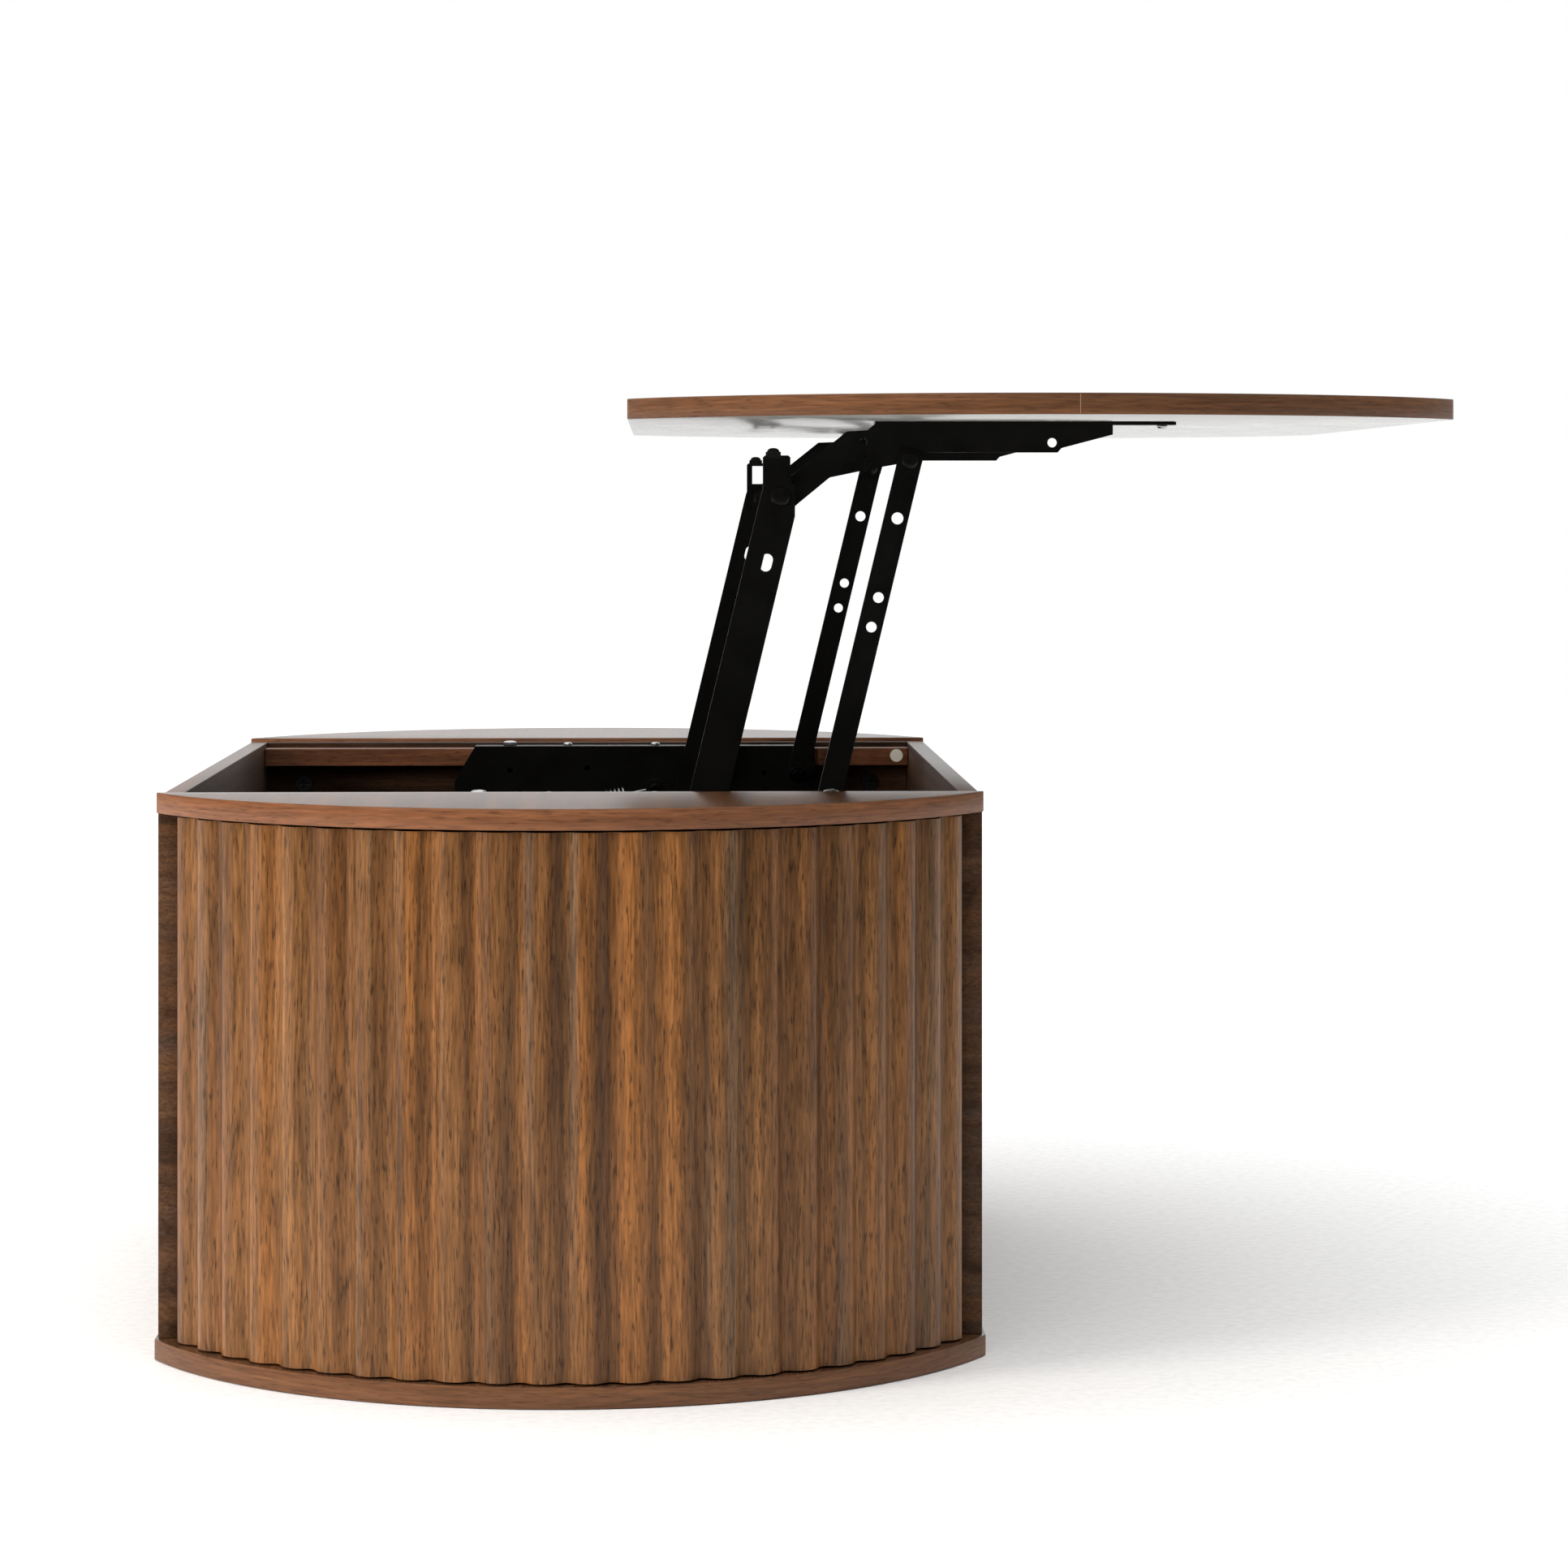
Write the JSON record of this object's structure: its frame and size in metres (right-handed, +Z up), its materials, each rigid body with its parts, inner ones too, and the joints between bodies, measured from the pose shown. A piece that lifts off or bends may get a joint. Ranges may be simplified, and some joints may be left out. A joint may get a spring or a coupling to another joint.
{
  "type": "lift top coffee table",
  "caption": "Oval coffee table with fluted walnut ends, open storage box and a lid that lifts up and forward on spring assisted parallel arms.",
  "frame": {"origin": "centre of the underside of the bottom board, on the floor", "axes": "+X the way the lid travels as it lifts, towards the person sitting; +Y along the table to that person's right; +Z up"},
  "size_m": [0.9404, 1.1, 0.6928],
  "materials": {
    "fluted_walnut": "walnut foil on wave moulded board, satin",
    "flat_walnut": "walnut melamine board with matching edge band, satin",
    "rail_board": "brown melamine batten",
    "black_steel": "black powder coat",
    "zinc_steel": "bright zinc plate",
    "cam_zinc": "die cast zinc, dull",
    "buffer_rubber": "black rubber"
  },
  "bodies": {
    "base": {"bottom_board": "flat_walnut", "front_panel": "flat_walnut", "back_panel": "flat_walnut", "inner_end_panel_left": "flat_walnut", "end_top_board_left": "flat_walnut", "fluted_panel_left": "fluted_walnut", "lid_rail_left": "rail_board", "base_bracket_left": "black_steel", "rear_base_pin_left": "zinc_steel", "front_base_pin_left": "zinc_steel", "spring_post_left": "zinc_steel", "spring_left": "zinc_steel", "base_screw_1_left": "zinc_steel", "base_screw_2_left": "zinc_steel", "base_screw_3_left": "zinc_steel", "base_screw_4_left": "zinc_steel", "cam_lock_front_left": "cam_zinc", "cam_lock_back_left": "cam_zinc", "inner_end_panel_right": "flat_walnut", "end_top_board_right": "flat_walnut", "fluted_panel_right": "fluted_walnut", "lid_rail_right": "rail_board", "base_bracket_right": "black_steel", "rear_base_pin_right": "zinc_steel", "front_base_pin_right": "zinc_steel", "spring_post_right": "zinc_steel", "spring_right": "zinc_steel", "base_screw_1_right": "zinc_steel", "base_screw_2_right": "zinc_steel", "base_screw_3_right": "zinc_steel", "base_screw_4_right": "zinc_steel", "cam_lock_front_right": "cam_zinc", "cam_lock_back_right": "cam_zinc"},
    "rear_arm_left": {"rear_arm_left": "black_steel", "rear_top_pin_left": "black_steel", "arm_buffer_left": "buffer_rubber", "spring_tail_bolt_left": "black_steel"},
    "front_arm_left": {"front_arm_left": "black_steel", "front_top_pin_left": "black_steel"},
    "rear_arm_right": {"rear_arm_right": "black_steel", "rear_top_pin_right": "black_steel", "arm_buffer_right": "buffer_rubber", "spring_tail_bolt_right": "black_steel"},
    "front_arm_right": {"front_arm_right": "black_steel", "front_top_pin_right": "black_steel"},
    "lid_assembly": {"lid": "flat_walnut", "lid_bracket_left": "black_steel", "lid_screw_1_left": "zinc_steel", "lid_screw_2_left": "zinc_steel", "lid_screw_3_left": "zinc_steel", "lid_bracket_right": "black_steel", "lid_screw_1_right": "zinc_steel", "lid_screw_2_right": "zinc_steel", "lid_screw_3_right": "zinc_steel"}
  },
  "joints": [
    {"name": "lift", "type": "hinge", "parent": "base", "child": "rear_arm_left", "pos_m": [0.0882, -0.3032, 0.3534], "axis": [0, 1, 0], "range_deg": [-103.5, 0], "deforming": ["spring_left", "spring_right"]},
    {"name": "lid_level", "type": "hinge", "parent": "rear_arm_left", "child": "lid_assembly", "pos_m": [0.15263, -0.3032, 0.62177], "axis": [0, 1, 0], "range_deg": [0, 103.5]},
    {"name": "rear_arm_right_swing", "type": "hinge", "parent": "base", "child": "rear_arm_right", "pos_m": [0.0882, 0.3032, 0.3534], "axis": [0, 1, 0], "range_deg": [-103.5, 0]},
    {"name": "front_arm_left_swing", "type": "hinge", "parent": "base", "child": "front_arm_left", "pos_m": [0.184, -0.3032, 0.38], "axis": [0, 1, 0], "range_deg": [-103.5, 0]},
    {"name": "front_arm_right_swing", "type": "hinge", "parent": "base", "child": "front_arm_right", "pos_m": [0.184, 0.3032, 0.38], "axis": [0, 1, 0], "range_deg": [-103.5, 0]}
  ],
  "couplings": [
    {"joint": "lid_level", "follows": "lift", "ratio": -1},
    {"joint": "rear_arm_right_swing", "follows": "lift", "ratio": 1},
    {"joint": "front_arm_left_swing", "follows": "lift", "ratio": 1},
    {"joint": "front_arm_right_swing", "follows": "lift", "ratio": 1}
  ]
}
